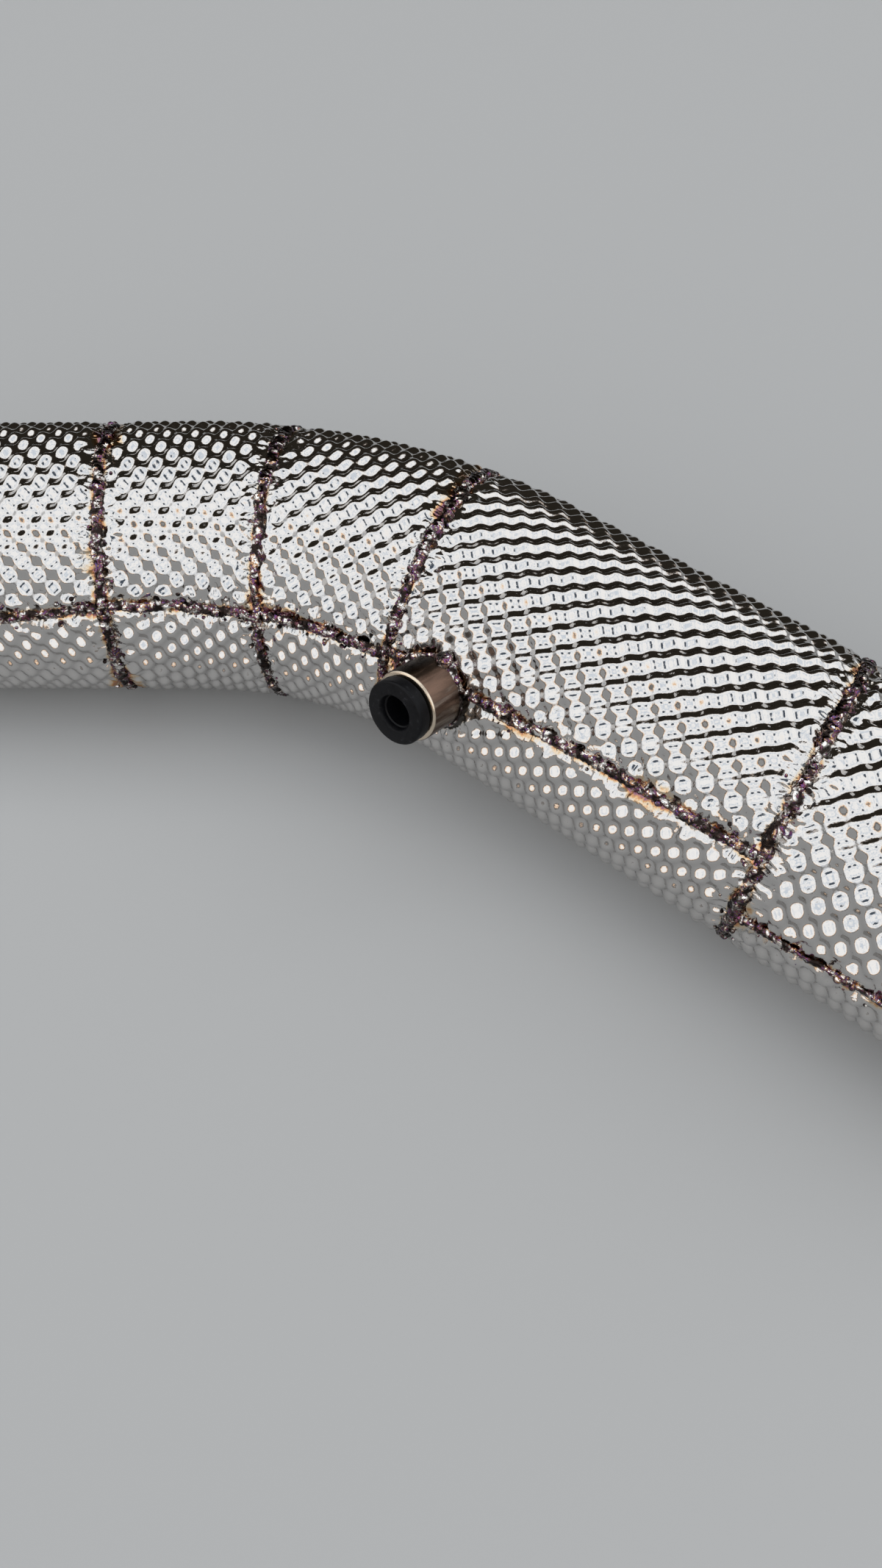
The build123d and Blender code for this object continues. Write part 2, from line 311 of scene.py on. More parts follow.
class Finish:
    """One procedural material on a Principled shader."""

    def __init__(self, name, **constants):
        self.material = bpy.data.materials.new(name)
        self.material.use_nodes = True
        self.tree = self.material.node_tree
        self.shader = self.tree.nodes["Principled BSDF"]
        self.root = Value(self.tree, None)
        for key, value in constants.items():
            self.shader.inputs[key.replace("_", " ")].default_value = value
        made = self.tree.nodes.new("ShaderNodeTexCoord")
        self.place = Value(self.tree, made.outputs["Object"])

    def noise(self, scale, detail=2.0, roughness=0.5, distortion=0.0, place=None):
        made = self.root.node(
            "ShaderNodeTexNoise",
            Vector=place or self.place,
            Scale=scale,
            Detail=detail,
            Roughness=roughness,
            Distortion=distortion,
        )
        return Value(self.tree, made.outputs[0])

    def blobs(self, scale, wander):
        """Distance from the middle of rounded blobs whose edges wander."""
        shift = self.root.node(
            "ShaderNodeTexNoise", Vector=self.place, Scale=scale * 0.8, Detail=2.0
        )
        centred = self.root.node(
            "ShaderNodeVectorMath", {"operation": "SUBTRACT"},
            _0=Value(self.tree, shift.outputs[1]), _1=(0.5, 0.5, 0.5),
        )
        scaled = self.root.node(
            "ShaderNodeVectorMath", {"operation": "SCALE"},
            _0=Value(self.tree, centred.outputs[0]), Scale=wander * 2,
        )
        moved = self.root.node(
            "ShaderNodeVectorMath", {"operation": "ADD"},
            _0=self.place, _1=Value(self.tree, scaled.outputs[0]),
        )
        made = self.root.node(
            "ShaderNodeTexVoronoi", {"feature": "F1"},
            Vector=Value(self.tree, moved.outputs[0]), Scale=scale,
        )
        return Value(self.tree, made.outputs[0])

    def attribute(self, name):
        made = self.root.node("ShaderNodeAttribute", {"attribute_name": name})
        return Value(self.tree, made.outputs["Fac"])

    def along(self, direction):
        """Distance along a direction from the object's origin."""
        return dot(self.root, self.place, direction)

    def feed(self, name, value):
        self.tree.links.new(value.socket, self.shader.inputs[name])

    def bump(self, height, strength, distance):
        made = self.root.node("ShaderNodeBump", Height=height, Strength=strength, Distance=distance)
        self.tree.links.new(made.outputs[0], self.shader.inputs["Normal"])


# Finishes


def foil_finish():
    """Bright embossed foil with heat tint beside the welds."""
    foil = Finish("bright_foil", Metallic=1.0)
    weld = foil.attribute("weld_distance")
    patch = foil.noise(190.0, 3.0, 0.6)
    fine = foil.noise(700.0, 2.0, 0.6)
    spread = foil.noise(30.0, 2.0).between(0.52, 0.68)
    near = 1.0 - (weld * 105.0).clamped()
    curls = foil.noise(330.0, 2.0, 0.5, 1.6) * near * 8.0
    heat = weld * (1.0 - spread * 0.6) + (patch - 0.5) * 0.006
    tint = (heat * 210.0).ramp(
        (0.0, (0.10, 0.05, 0.04)),
        (0.16, (0.24, 0.12, 0.16)),
        (0.28, (0.50, 0.26, 0.11)),
        (0.40, (0.58, 0.46, 0.32)),
        (0.56, (0.54, 0.525, 0.505)),
        (1.0, (0.545, 0.53, 0.515)),
    )
    foil.feed("Base Color", tint)
    dull = 1.0 - (weld * 220.0).clamped()
    foil.feed("Roughness", foil.noise(60.0, 3.0) * 0.05 + 0.045 + dull * 0.10 + fine * 0.02)
    foil.bump(fine + foil.noise(240.0, 2.0) * 2.5 + curls, 0.12, 0.0004)
    return foil.material


def weld_finish():
    """Weld metal: dark scale with brown, purple, blue and gold heat colours, painted glints and
    painted shade at the blob edges.
    """
    weld = Finish("weld_scale_painted_glints_and_shade", Metallic=1.0)
    patch = weld.noise(240.0, 4.0, 0.6, 1.0)
    blob = weld.blobs(330.0, 0.0012)
    # The ramp's pale ends are painted glints. The dark stops between them are scale and heat
    # colours.
    colour = patch.ramp(
        (0.38, (0.74, 0.71, 0.68)),
        (0.43, (0.20, 0.16, 0.14)),
        (0.465, (0.065, 0.048, 0.042)),
        (0.49, (0.13, 0.055, 0.05)),
        (0.505, (0.25, 0.06, 0.12)),
        (0.52, (0.085, 0.07, 0.24)),
        (0.54, (0.06, 0.045, 0.045)),
        (0.575, (0.40, 0.20, 0.08)),
        (0.62, (0.82, 0.78, 0.73)),
    )
    # Painted glints: tiny pale specks in the base colour
    glint = weld.noise(800.0, 2.0, 0.5).between(0.60, 0.66)
    colour = glint.mix(colour, (0.80, 0.78, 0.75, 1))
    # Painted shade: near black at the blob edges, where the bump sinks into creases
    rim = blob.between(0.42, 0.72)
    weld.feed("Base Color", rim.mix(colour, (0.022, 0.016, 0.014, 1)))
    weld.feed("Roughness", rim * 0.20 + 0.07)
    weld.bump(blob * -1.6 + weld.noise(900.0, 2.0, 0.5) * 0.2, 0.9, 0.0007)
    return weld.material


def bung_finish():
    """Turned steel with fine lathe lines, brown heat colour in streaks along its axis, painted
    shade and light across it, and a bright rim.
    """
    bung = Finish("turned_steel", Metallic=1.0, Anisotropic=0.6)
    height = bung.along(tuple(BUNG_OUT))
    lines = (height * 21000.0).math("SINE")
    across = bung.along(tuple(BUNG_ALONG))
    streak_place = bung.root.node(
        "ShaderNodeCombineXYZ", _0=across, _1=bung.along(tuple(BUNG_ROUND)), _2=height * 0.12
    )
    streak = bung.noise(260.0, 3.0, 0.6, place=Value(bung.tree, streak_place.outputs[0]))
    front = BUNG_FRONT.dot(BUNG_OUT)
    rim = height.between(front - 0.0007, front - 0.0004)
    # Painted shade and painted light: darker towards the bung's upstream side, lighter towards its
    # downstream side
    side = across - BUNG_FRONT.dot(BUNG_ALONG)
    body = (streak * 0.7 + side * 28.0 + 0.06).ramp(
        (0.14, (0.009, 0.007, 0.005)),
        (0.40, (0.035, 0.023, 0.016)),
        (0.60, (0.15, 0.095, 0.070)),
        (0.74, (0.09, 0.060, 0.045)),
        (0.88, (0.28, 0.23, 0.19)),
    )
    bung.feed("Base Color", rim.mix(body, (0.66, 0.56, 0.44, 1)))
    bung.feed("Roughness", streak * 0.10 + 0.17)
    bung.bump(lines + bung.noise(1500.0, 2.0) * 2.0, 0.18, 0.00012)
    return bung.material


def rubber_finish():
    """Black rubber, scuffed in places."""
    rubber = Finish("black_rubber", Specular_IOR_Level=0.12)
    grain = rubber.noise(600.0, 4.0, 0.6)
    scuff = rubber.noise(210.0, 4.0, 0.7)
    colour = (grain * 0.5 + scuff * 0.5).ramp(
        (0.35, (0.002, 0.002, 0.0025)),
        (0.6, (0.005, 0.005, 0.006)),
        (0.7, (0.03, 0.03, 0.032)),
    )
    rubber.feed("Base Color", colour)
    rubber.feed("Roughness", scuff * 0.35 + 0.22)
    rubber.bump(grain, 0.25, 0.0002)
    return rubber.material


def tube_finish():
    """Drawn stainless tube with a satin grain."""
    tube = Finish("drawn_steel", Metallic=1.0)
    cloud = tube.noise(35.0, 4.0, 0.6)
    tube.feed("Base Color", cloud.ramp((0.3, (0.50, 0.48, 0.46)), (0.7, (0.64, 0.63, 0.61))))
    tube.feed("Roughness", tube.noise(500.0, 3.0) * 0.16 + 0.20)
    tube.bump(tube.noise(1100.0, 3.0), 0.12, 0.0002)
    return tube.material


def fibre_finish():
    """White ceramic fleece."""
    fibre = Finish("ceramic_fibre", Roughness=0.95)
    fleece = fibre.noise(260.0, 5.0, 0.7)
    fibre.feed("Base Color", fleece.ramp((0.3, (0.62, 0.60, 0.54)), (0.7, (0.86, 0.84, 0.79))))
    fibre.bump(fleece, 0.6, 0.001)
    return fibre.material


# Places on the pipe, for numbers or arrays


def on_pipe(distance, clock, radius):
    """Points at distances along the pipe, clock angles in radians and radii."""
    turn = np.clip(distance - INLET_LEG, 0, BEND_END - INLET_LEG) / BEND_RADIUS
    before = np.minimum(distance, INLET_LEG)
    after = np.maximum(distance - BEND_END, 0)
    outward = radius * np.cos(clock)
    x = before + (BEND_RADIUS + outward) * np.sin(turn) + after * np.cos(turn)
    y = (BEND_RADIUS + outward) * np.cos(turn) - BEND_RADIUS - after * np.sin(turn)
    return np.stack([x, y, radius * np.sin(clock) + 0 * x], -1)


def distance_at(point):
    """How far along the centreline a point on it lies."""
    x, y = point[0], point[1]
    turn = math.atan2(x - INLET_LEG, y + BEND_RADIUS)
    if turn <= 0:
        return x
    if turn < TURN:
        return INLET_LEG + turn * BEND_RADIUS
    to_outlet = math.hypot(x - outlet["pos_m"][0], y - outlet["pos_m"][1])
    return BEND_END - to_outlet + OUTLET_LEG


def middle(node):
    """The middle of a CAD node's box."""
    low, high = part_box(node)
    return [(a + b) / 2 for a, b in zip(low, high)]


RING_PLACES = [distance_at(middle(f"ring_weld_{n + 1}")) for n in range(RING_COUNT)]


def ring_distance(number, clock):
    """Where a tilted ring crosses a line along the pipe."""
    swing, rake = (math.tan(math.radians(a)) for a in RING_TILTS[number])
    place = RING_PLACES[number]
    lean = RING_RADIUS * (swing * np.cos(clock) - rake * np.sin(clock))
    bent = INLET_LEG < place < BEND_END
    stretch = 1 + RING_RADIUS * np.cos(clock) / BEND_RADIUS if bent else 1.0
    return place - lean / stretch


def seam_clock(number, share):
    """The clock angle of a section's seam at a share of its length."""
    here, there = (math.radians(a) for a in SEAM_CLOCKS[number - 1])
    return here + share * (there - here)


def smooth(low, high, value):
    """0 below low, 1 above high, smooth in the middle."""
    share = np.clip((value - low) / (high - low), 0, 1)
    return share * share * (3 - 2 * share)


class Ripple:
    """Smooth random field over two lengths, the same on each run."""

    def __init__(self, seed):
        self.grid = np.random.default_rng(seed).random((RIPPLE_CELLS, RIPPLE_CELLS)) * 2 - 1

    def at(self, a, b):
        i, j = np.floor(a).astype(int), np.floor(b).astype(int)
        u, v = a - i, b - j
        u, v = u * u * (3 - 2 * u), v * v * (3 - 2 * v)
        n, g = RIPPLE_CELLS, self.grid
        low = g[i % n, j % n] * (1 - u) + g[(i + 1) % n, j % n] * u
        high = g[i % n, (j + 1) % n] * (1 - u) + g[(i + 1) % n, (j + 1) % n] * u
        return low * (1 - v) + high * v


# Mesh helpers


def fresh(name):
    """Names the primitive just added and returns it."""
    piece = bpy.context.active_object
    piece.name = name
    piece.data.name = name
    return piece


def vertices(piece):
    """A piece's points, one row each."""
    flat = np.empty(len(piece.data.vertices) * 3)
    piece.data.vertices.foreach_get("co", flat)
    return flat.reshape(-1, 3)


def shape(piece, points):
    """Moves the piece's vertices to points in the frame, with the piece at the origin."""
    piece.location = (0, 0, 0)
    piece.rotation_euler = (0, 0, 0)
    piece.scale = (1, 1, 1)
    piece.data.vertices.foreach_set("co", np.asarray(points, float).ravel())
    piece.data.update()


def dress(piece, finish, slot, *nodes):
    """Gives a piece its finish and body, and hides the CAD nodes that it stands for. The slot is
    not used.
    """
    piece.data.materials.clear()
    piece.data.materials.append(finish)
    for face in piece.data.polygons:
        face.use_smooth = True
    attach(piece, "root")
    if nodes:
        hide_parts(*nodes)
    return piece


def deselect():
    bpy.ops.object.select_all(action="DESELECT")


def alone(piece):
    """Makes the piece the only one selected, and the active one."""
    deselect()
    piece.select_set(True)
    bpy.context.view_layer.objects.active = piece


def outward(piece):
    """Merges the edges that meet and turns all faces outwards."""
    alone(piece)
    bpy.ops.object.mode_set(mode="EDIT")
    bpy.ops.mesh.select_all(action="SELECT")
    bpy.ops.mesh.remove_doubles(threshold=MERGE)
    bpy.ops.mesh.normals_make_consistent(inside=False)
    bpy.ops.object.mode_set(mode="OBJECT")


def from_bung_axis(points):
    """How far points lie from the bung's axis."""
    offset = points - np.array(BUNG_FOOT)
    out = offset @ np.array(BUNG_OUT)
    across = np.linalg.norm(offset - out[:, None] * np.array(BUNG_OUT), axis=1)
    return np.where(out > 0, across, 1.0)


# Embossed foil halves


def emboss(a, b):
    """Height of the embossing from -1 to 1, over the lattice's own lengths."""
    return np.cos(2 * math.pi * a) * np.cos(2 * math.pi * b)


def folds(fields, rates, distance, rise):
    """Wide and fine folds in the foil, from two random fields."""
    (wide_along, wide_round), (fine_along, fine_round) = rates
    wide = fields[0].at(distance * wide_along, rise * wide_round)
    return wide + FINE_SHARE * fields[1].at(distance * fine_along, rise * fine_round)


def foil_half(number, half):
    """One half of a shield section: a flat sheet, embossed, rolled and drawn in at its welds."""
    length = RING_PLACES[number] - RING_PLACES[number - 1]
    around = math.pi * SHIELD_RADIUS
    deselect()
    bpy.ops.mesh.primitive_grid_add(
        x_subdivisions=int(length / FOIL_STEP), y_subdivisions=int(around / FOIL_STEP), size=2
    )
    sheet = fresh(f"foil_{number}_{half}")
    flat = vertices(sheet)
    u, v = (flat[:, 0] + 1) / 2, (1 - flat[:, 1]) / 2
    start = seam_clock(number, u) - (math.pi if half == "upper" else 0)
    clock = start + v * math.pi
    first, last = ring_distance(number - 1, clock), ring_distance(number, clock)
    distance = first + u * (last - first)

    # Rows of bumps, in the sheet's own lengths
    slant, bump_distance, bump_clock = ROWS[(number, half)]
    slant = math.radians(slant)
    outside = SHIELD_RADIUS * np.cos(clock)
    bent = np.clip(distance, INLET_LEG, BEND_END) - np.clip(bump_distance, INLET_LEG, BEND_END)
    run = distance - bump_distance + STRETCH_SHARE * outside / BEND_RADIUS * bent
    rise = SHIELD_RADIUS * (clock - math.radians(bump_clock))
    on_row = (run * math.cos(slant) + rise * math.sin(slant)) / PITCH_ALONG
    off_row = (rise * math.cos(slant) - run * math.sin(slant)) / PITCH_AROUND
    bump = emboss(on_row, off_row)

    # Distances from the welds calm the bumps and crinkle the foil
    to_ring = np.minimum(distance - first, last - distance)
    to_seam = SHIELD_RADIUS * np.minimum(clock - start, start + math.pi - clock)
    to_bung = from_bung_axis(on_pipe(distance, clock, SHIELD_RADIUS)) - BUNG_RADIUS
    weld = np.minimum(np.minimum(to_ring, to_seam), np.maximum(to_bung, 0))
    fields = (Ripple(number * 7 + 5), Ripple(number * 11 + 15))
    wander = fields[0].at(distance * WELD_WANDER_RATE, rise * WELD_WANDER_RATE)
    ragged = weld + WELD_WANDER * wander
    calm = smooth(BUMPS_FROM, BUMPS_FULL, ragged)
    creased = 1 - smooth(CRINKLES_FULL, CRINKLES_TO, ragged)
    beside_ring = folds(fields, RING_FOLDS, distance, rise)
    beside_seam = folds(fields, SEAM_FOLDS, distance, rise)
    fold = np.where(to_ring < to_seam, beside_ring, beside_seam)
    crinkle = CRINKLE_RIDGE - CRINKLE_FALL * np.abs(fold)
    drop = LIP_DROP * (1 - smooth(0.0, LIP_REACH, weld))
    radius = SHIELD_RADIUS - EMBOSS_DEPTH * (0.5 - 0.5 * bump * calm) - drop
    radius = radius + CRINKLE * crinkle * creased
    radius = np.minimum(radius, SHIELD_RADIUS)
    shape(sheet, on_pipe(distance, clock, radius))

    mark = sheet.data.attributes.new("weld_distance", "FLOAT", "POINT")
    mark.data.foreach_set("value", np.maximum(weld, 0).astype(np.float32))
    return sheet


def shield(finish):
    """The ten foil halves."""
    for number in range(1, RING_COUNT):
        for half in ("upper", "lower"):
            sheet = foil_half(number, half)
            open_for_bung(sheet)
            dress(sheet, finish, "shield_foil", f"shield_{number}_{half}")


def unwelded(angle):
    """1 round the part of the bung where the foil only gapes, 0 where it is welded."""
    return smooth(*GAPE_COSINES, np.cos(angle - GAPE_ANGLE))


def open_for_bung(sheet):
    """Takes away the part of a sheet that lies inside the bung's wall."""
    points = vertices(sheet)
    offset = points - np.array(BUNG_FOOT)
    angle = np.arctan2(offset @ np.array(BUNG_ROUND), offset @ np.array(BUNG_ALONG))
    edge = BUNG_RADIUS + (GAPE + FOIL_LAP) * unwelded(angle) - FOIL_LAP
    inside = from_bung_axis(points) < edge
    if not inside.any():
        return
    bpy.ops.object.mode_set(mode="EDIT")
    bpy.ops.mesh.select_mode(type="VERT")
    bpy.ops.mesh.select_all(action="DESELECT")
    bpy.ops.object.mode_set(mode="OBJECT")
    sheet.data.vertices.foreach_set("select", inside)
    bpy.ops.object.mode_set(mode="EDIT")
    bpy.ops.mesh.delete(type="VERT")
    bpy.ops.object.mode_set(mode="OBJECT")


# Blanket under the foil


def blanket(number, finish):
    """A closed sleeve of fibre, clear of the embossing's dips."""
    deselect()
    bpy.ops.mesh.primitive_torus_add(major_segments=96, minor_segments=64)
    sleeve = fresh(f"blanket_{number}")
    points = vertices(sleeve)
    clock = np.arctan2(points[:, 1], points[:, 0])
    turn = np.arctan2(points[:, 2], np.hypot(points[:, 0], points[:, 1]) - 1)
    first = ring_distance(number - 1, clock) + BLANKET_SETBACK
    last = ring_distance(number, clock) - BLANKET_SETBACK
    squared = np.maximum(np.abs(np.cos(turn)), np.abs(np.sin(turn)))
    share = 0.5 + 0.5 * np.sin(turn) / squared
    height = 0.5 + 0.5 * np.cos(turn) / squared
    inner, outer = BLANKET_RADII
    shape(sleeve, on_pipe(first + share * (last - first), clock, inner + height * (outer - inner)))
    outward(sleeve)
    if number == BUNG_SECTION:
        cut_for_bung(sleeve, BUNG_RADIUS + BLANKET_CLEARANCE)
    return dress(sleeve, finish, "insulation", f"insulation_{number}")


def cut_for_bung(piece, radius):
    """Bores a round hole on the bung's axis through a closed piece."""
    deselect()
    bpy.ops.mesh.primitive_cylinder_add(
        vertices=64,
        radius=radius,
        depth=SHIELD_RADIUS,
        location=BUNG_FRONT,
        rotation=BUNG_OUT.to_track_quat("Z", "Y").to_euler(),
    )
    drill = bpy.context.active_object
    cut = piece.modifiers.new("bung_hole", "BOOLEAN")
    cut.object = drill
    cut.operation = "DIFFERENCE"
    alone(piece)
    bpy.ops.object.modifier_apply(modifier="bung_hole")
    bpy.data.objects.remove(drill)


# Weld beads


def bead_section(along, turn, size, seed):
    """Half width of a ragged bead: waves, lumps and grit."""
    lumps, grit = Ripple(seed), Ripple(seed + 50)
    phase = along * 2 * math.pi / WAVE_PITCH + 2.6 * lumps.at(along * 110, turn)
    lump = LUMPS * lumps.at(along * LUMP_RATE, turn * 0.9 + 4)
    lump = lump + GRIT * grit.at(along * GRIT_RATE, turn * 2.1 + 7)
    return size * (BEAD_MEAN + WAVES * np.sin(phase) + lump)


def closed_angles(lengths):
    """Lengths from -1 to 1 as angles, with both ends on the same angle."""
    angles = lengths % 2 * math.pi
    return np.where(angles > math.pi, angles - 2 * math.pi, angles)


def ring_bead(number, finish):
    """A ragged ring round the pipe, on its tilted plane: a strip rolled up and closed."""
    deselect()
    steps = int(2 * math.pi * SHIELD_RADIUS / BEAD_STEP)
    bpy.ops.mesh.primitive_grid_add(x_subdivisions=steps, y_subdivisions=BEAD_SIDES, size=2)
    bead = fresh(f"ring_bead_{number + 1}")
    points = vertices(bead)
    clock, turn = closed_angles(points[:, 0]), closed_angles(points[:, 1])
    around = clock * SHIELD_RADIUS
    size = bead_section(around + math.pi * SHIELD_RADIUS, turn, RING_BEAD, 200 + number)
    wander = RING_WANDER * Ripple(300 + number).at(around * RING_WANDER_RATE + 40, 0 * around)
    height = SHIELD_RADIUS - RING_SINK + BEAD_RISE * size * np.cos(turn)
    height = np.minimum(height, BEAD_TOP)
    distance = ring_distance(number, clock) + wander + size * np.sin(turn)
    shape(bead, on_pipe(distance, clock, height))
    outward(bead)
    return dress(bead, finish, "weld_bead", f"ring_weld_{number + 1}")


def seam_bead(number, side, finish):
    """A ragged bead along a seam, closed at both ends."""
    opposite = 0 if side == "inner" else math.pi
    first = float(ring_distance(number - 1, seam_clock(number, 0) + opposite))
    last = float(ring_distance(number, seam_clock(number, 1) + opposite))
    deselect()
    bpy.ops.mesh.primitive_uv_sphere_add(
        segments=BEAD_SIDES, ring_count=int((last - first) / BEAD_STEP), radius=1
    )
    bead = fresh(f"seam_bead_{number}_{side}")
    points = vertices(bead)
    share = np.arccos(np.clip(points[:, 2], -1, 1)) / math.pi
    turn = np.arctan2(points[:, 1], points[:, 0])
    distance = first + share * (last - first)
    clock = seam_clock(number, share) + opposite
    width = SEAM_BEADS[number - 1]
    sink = max(SEAM_SINK, BEAD_COVER + BEAD_RISE * width)
    size = bead_section(distance + 0.3, turn, width, 405 + number * 2)
    to_end = np.minimum(share, 1 - share) * (last - first)
    size = size * np.clip(to_end / SEAM_TAPER, 0, 1) ** 0.5
    wander = SEAM_WANDER * Ripple(500 + number).at(distance * SEAM_WANDER_RATE, 0 * distance)
    radius = SHIELD_RADIUS - sink + BEAD_RISE * size * np.cos(turn)
    radius = np.minimum(radius, BEAD_TOP)
    shape(bead, on_pipe(distance, clock + (size * np.sin(turn) + wander) / radius, radius))
    outward(bead)
    if (number, side) == (BUNG_SECTION, "inner"):
        cut_for_bung(bead, BUNG_RADIUS - BEAD_LAP)
    return dress(bead, finish, "weld_bead", f"seam_weld_{number}_{side}")


def bung_bead(finish):
    """The ragged weld where the shield closes on the bung."""
    deselect()
    bpy.ops.mesh.primitive_torus_add(
        major_segments=150, minor_segments=BEAD_SIDES, major_radius=1, minor_radius=0.25
    )
    bead = fresh("bung_bead")
    points = vertices(bead)
    angle = np.arctan2(points[:, 1], points[:, 0])
    turn = np.arctan2(points[:, 2], np.hypot(points[:, 0], points[:, 1]) - 1)
    size = bead_section(angle * BUNG_RADIUS + 0.2, turn, BUNG_BEAD, 700)
    size = size * np.interp(np.degrees(angle) % 360, *BUNG_BEAD_SIZES)
    across = BUNG_RADIUS + BEAD_LAP + size * np.cos(turn)
    along, around = across * np.cos(angle), across * np.sin(angle)
    foot = np.sqrt((SHIELD_RADIUS - BUNG_BEAD_SINK) ** 2 - around**2)
    height = foot + size * np.sin(turn)
    points = np.array(BUNG_FOOT) + along[:, None] * np.array(BUNG_ALONG)
    points = points + around[:, None] * np.array(BUNG_ROUND) + height[:, None] * np.array(BUNG_OUT)
    shape(bead, points)
    outward(bead)
    return dress(bead, finish, "weld_bead", "bung_weld")


# Turned pieces


def turned(name, outline, steps, finish, slot, node):
    """Spins a closed outline of (height, radius) points about the bung's axis."""
    deselect()
    bpy.ops.mesh.primitive_circle_add(vertices=len(outline))
    piece = fresh(name)
    shape(piece, [BUNG_FRONT + BUNG_OUT * h + BUNG_ALONG * r for h, r in outline])
    alone(piece)
    bpy.ops.object.mode_set(mode="EDIT")
    bpy.ops.mesh.select_all(action="SELECT")
    bpy.ops.mesh.spin(
        steps=steps, angle=2 * math.pi, center=tuple(BUNG_FRONT), axis=tuple(BUNG_OUT)
    )
    bpy.ops.object.mode_set(mode="OBJECT")
    outward(piece)
    dress(piece, finish, slot, node)
    bpy.ops.object.shade_smooth_by_angle(angle=SHARP_ANGLE)
    return piece


def rounded(corner_height, corner_radius, size):
    """Points round an outline's corner, from the side to the top."""
    points = []
    for n in range(5):
        angle = math.radians(90 * n / 4)
        height = corner_height - size + size * math.sin(angle)
        points.append((height, corner_radius - size + size * math.cos(angle)))
    return points


def plug_piece(finish):
    """Rubber plug: neck, head with a rounded rim and a hollow with an inner step."""
    outline = [(-0.009, 0.0), (-0.009, 0.0082), (0.0, 0.0082), (0.0, 0.0095), (0.001, 0.0095)]
    outline += [(0.001, 0.0112), (0.0014, 0.0118)]
    outline += rounded(0.006, 0.0118, 0.0009)
    outline += [(0.006, 0.0068), (0.0056, 0.0064), (0.0036, 0.0062), (0.0033, 0.0057)]
    outline += [(-0.0064, 0.0054), (-0.0066, 0.0)]
    return turned("rubber_plug", outline, 96, finish, "plug_rubber", "sensor_plug")


def bung_piece(finish):
    """Turned bung: outside, bright chamfered rim and the port's wall."""
    foot = TUBE_RADIUS - SHIELD_RADIUS - BUNG_STAND
    outline = [(foot, PORT_RADIUS), (foot, BUNG_RADIUS), (-0.0008, BUNG_RADIUS)]
    outline += [(-0.0002, BUNG_RADIUS - 0.0005), (0.0, BUNG_RADIUS - 0.0009)]
    outline += [(0.0, PORT_RADIUS + 0.001), (-0.001, PORT_RADIUS)]
    bung = turned("turned_bung", outline, 128, finish, "bung_steel", "sensor_bung")
    points = vertices(bung)
    offset = points - np.array(BUNG_FOOT)
    around = offset @ np.array(BUNG_ROUND)
    drop = TUBE_RADIUS - np.sqrt(TUBE_RADIUS**2 - around**2)
    at_foot = offset @ np.array(BUNG_OUT) < TUBE_RADIUS + 0.0001
    shape(bung, points - (at_foot * drop)[:, None] * np.array(BUNG_OUT))
    return bung


# Spatter: small balls of weld metal beside the welds, and larger drops on them


def along_ring(dice, number, clear, reach):
    """A place beside a ring weld, on either side of it."""
    clock = dice.uniform(-math.pi, math.pi)
    off = dice.choice((-1, 1)) * dice.uniform(clear, reach)
    return float(ring_distance(number, clock)) + off, clock


def along_seam(dice, number, side, clear, reach):
    """A place beside a seam weld, above or below it."""
    share = dice.random()
    clock = seam_clock(number, share) + side
    first = float(ring_distance(number - 1, clock))
    last = float(ring_distance(number, clock))
    off = dice.choice((-1, 1)) * dice.uniform(clear, reach) / SHIELD_RADIUS
    return first + share * (last - first), clock + off


def spatter_places(dice):
    """Distances and clock angles of the balls and of the drops."""
    balls, drops = [], []
    for number in range(1, RING_COUNT):
        for side in (0, math.pi):
            for places, (count, *reach) in ((balls, SEAM_BALLS), (drops, SEAM_DROPS)):
                places.extend(along_seam(dice, number, side, *reach) for _ in range(count))
    for number in range(RING_COUNT):
        for places, (count, *reach) in ((balls, RING_BALLS), (drops, RING_DROPS)):
            places.extend(along_ring(dice, number, *reach) for _ in range(count))
    return balls, drops


def spatter(finish):
    """Balls and drops on all welds, clear of the bung, joined to one piece."""
    dice = random.Random(12)
    balls, drops = spatter_places(dice)
    deselect()
    bpy.ops.mesh.primitive_ico_sphere_add(subdivisions=2, radius=1)
    ball = fresh("weld_spatter")
    unit = vertices(ball)
    copies = []
    for index, (distance, clock) in enumerate(balls + drops):
        if index < len(balls):
            size = dice.uniform(*BALL_SIZES)
            radius = SHIELD_RADIUS - BALL_SINK - size * 0.2
        else:
            size = dice.uniform(*DROP_SIZES)
            radius = BEAD_TOP - size
        on_cone = max(RING_PLACES[0] - distance, distance - RING_PLACES[-1], 0)
        radius = radius - on_cone * CONE_FALL
        centre = on_pipe(np.array([distance]), np.array([clock]), np.array([radius]))
        if from_bung_axis(centre)[0] < BUNG_RADIUS + SPATTER_CLEARANCE:
            continue
        copy = ball.copy()
        copy.data = ball.data.copy()
        bpy.context.collection.objects.link(copy)
        shape(copy, unit * size + centre)
        copies.append(copy)
    bpy.data.objects.remove(ball)
    deselect()
    for copy in copies:
        copy.select_set(True)
    bpy.context.view_layer.objects.active = copies[0]
    bpy.ops.object.join()
    return dress(fresh("weld_spatter"), finish, "weld_bead")


# Stage, light and camera


def floor():
    """A plain pale floor under the pipe."""
    deselect()
    bpy.ops.mesh.primitive_plane_add(size=8, location=(0.25, -0.1, FLOOR))
    ground = fresh("floor")
    colour = (0.41, 0.41, 0.405, 1)
    finish = Finish("pale_floor", Base_Color=colour, Roughness=0.8, Specular_IOR_Level=0.2)
    ground.data.materials.append(finish.material)


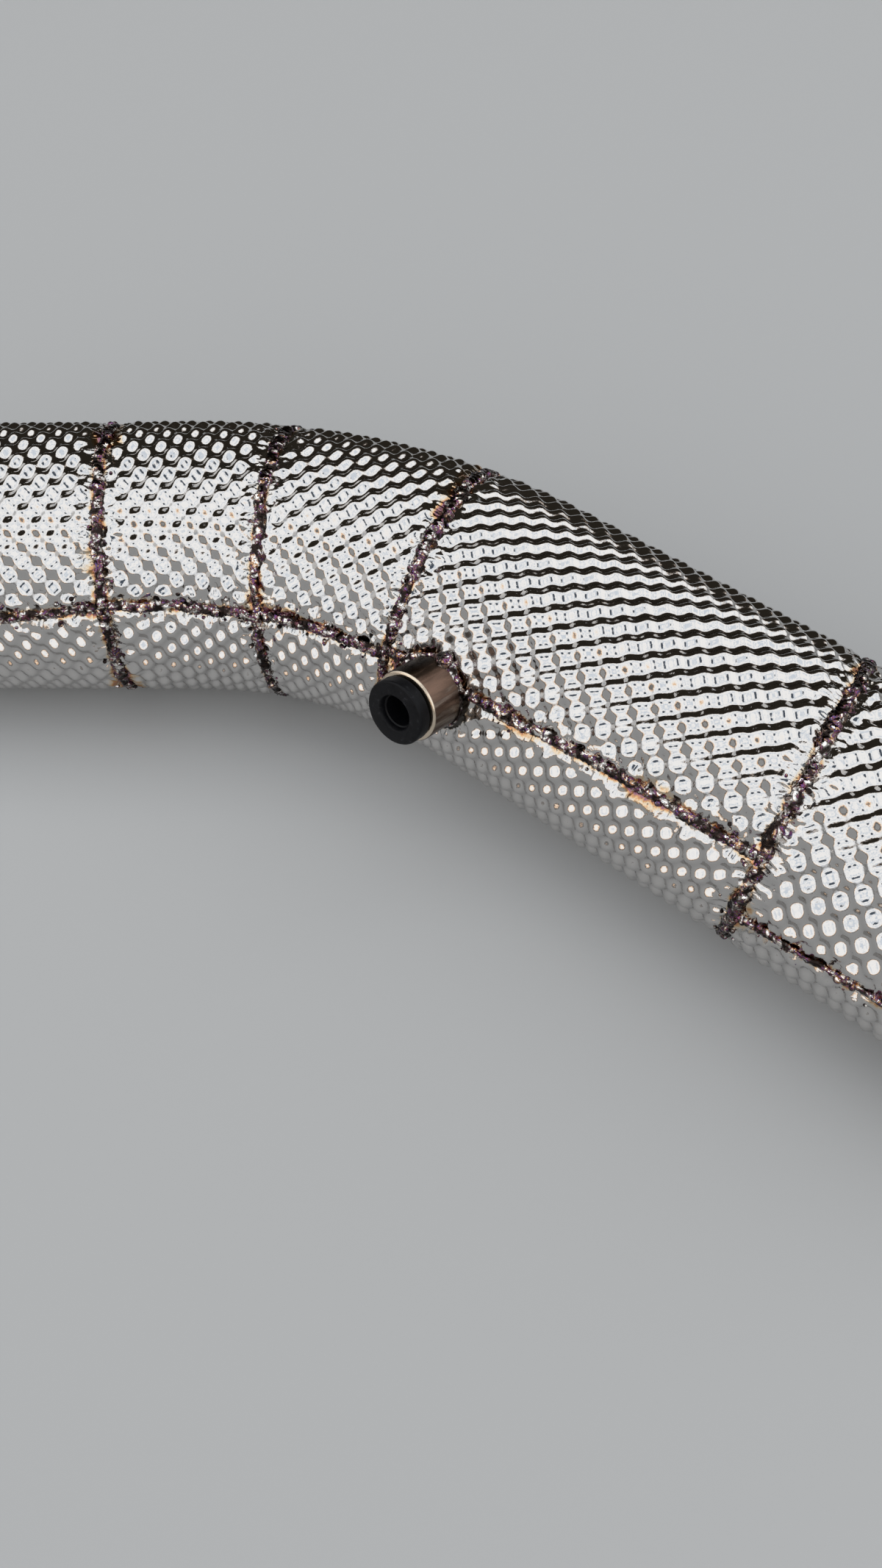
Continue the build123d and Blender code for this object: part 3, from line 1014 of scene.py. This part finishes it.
def sky():
    """Soft white light, a dark patch on the far side and a grey horizon with a warm part."""
    world = bpy.data.worlds.new("soft_studio")
    bpy.context.scene.world = world
    world.use_nodes = True
    tree = world.node_tree
    root = Value(tree, None)
    direction = Value(tree, tree.nodes.new("ShaderNodeTexCoord").outputs["Generated"])
    patch = dot(root, direction, PATCH_SIDE) - PATCH_EDGE
    rise = dot(root, direction, (0, 0, 1))
    cloud = Value(tree, root.node("ShaderNodeTexNoise", Vector=direction, Scale=5.0).outputs[0])
    clear = cloud.ramp((0.38, (0.66, 0.73, 0.82)), (0.50, (0.98, 0.99, 1.0)))
    haze = (rise + (cloud - 0.5) * 0.12).between(0.02, 0.44)
    plain = haze.ramp(
        (0.08, (0.20, 0.20, 0.20)),
        (0.50, (0.72, 0.74, 0.77)),
        (0.75, (0.95, 0.97, 1.0)),
    )
    glow = haze.ramp(
        (0.07, (0.17, 0.165, 0.16)),
        (0.17, (0.84, 0.46, 0.20)),
        (0.32, (0.98, 0.68, 0.40)),
        (0.46, (1.0, 0.95, 0.88)),
    )
    horizon = dot(root, direction, GLOW_SIDE).between(0.60, 0.92).mix(plain, glow)
    hood = dot(root, direction, HOOD_SIDE).between(0.955, 0.985)
    sky_colour = hood.mix(haze.mix(horizon, clear), HOOD_COLOUR)
    shade = Value(tree, root.node("ShaderNodeTexNoise", Vector=direction, Scale=9.0).outputs[0])
    dark = (patch + (shade - 0.5) * 0.10).between(-0.07, 0.05)
    edge = dark.ramp((0.2, (1.0, 1.0, 1.0)), (0.5, (0.72, 0.38, 0.11)), (0.8, (0.04, 0.025, 0.01)))
    colour = dark.mix(dark.mix(sky_colour, edge), PATCH_COLOUR)
    background = tree.nodes["Background"]
    tree.links.new(colour.socket, background.inputs["Color"])
    background.inputs["Strength"].default_value = SKY_STRENGTH


def camera():
    """The photograph's camera."""
    ahead, right = Vector(CAMERA_AHEAD), Vector(CAMERA_RIGHT)
    up = right.cross(ahead)
    data = bpy.data.cameras.new("camera")
    data.sensor_fit = "VERTICAL"
    data.angle_y = math.radians(FIELD_OF_VIEW)
    data.clip_start = 0.01
    eye = bpy.data.objects.new("camera", data)
    bpy.context.collection.objects.link(eye)
    turn = Matrix((right, up, -ahead)).transposed().to_4x4()
    eye.matrix_world = Matrix.Translation(CAMERA_PLACE) @ turn
    bpy.context.scene.camera = eye


def finish_cad(node, finish):
    """Gives a CAD solid that is shown its finish."""
    piece = frame["nodes"][node]
    piece.data.materials.clear()
    piece.data.materials.append(finish)


foil, weld, steel = foil_finish(), weld_finish(), tube_finish()
camera()
sky()
floor()
shield(foil)
for number in range(RING_COUNT):
    ring_bead(number, weld)
for number in range(1, RING_COUNT):
    for side in ("inner", "outer"):
        seam_bead(number, side, weld)
bung_bead(weld)
bung_piece(bung_finish())
plug_piece(rubber_finish())
spatter(weld)
for node in STEEL_NODES:
    finish_cad(node, steel)
for node in WELD_NODES:
    finish_cad(node, weld)
fibre = fibre_finish()
for number in range(1, RING_COUNT):
    blanket(number, fibre)

bpy.context.scene.view_settings.view_transform = "Standard"
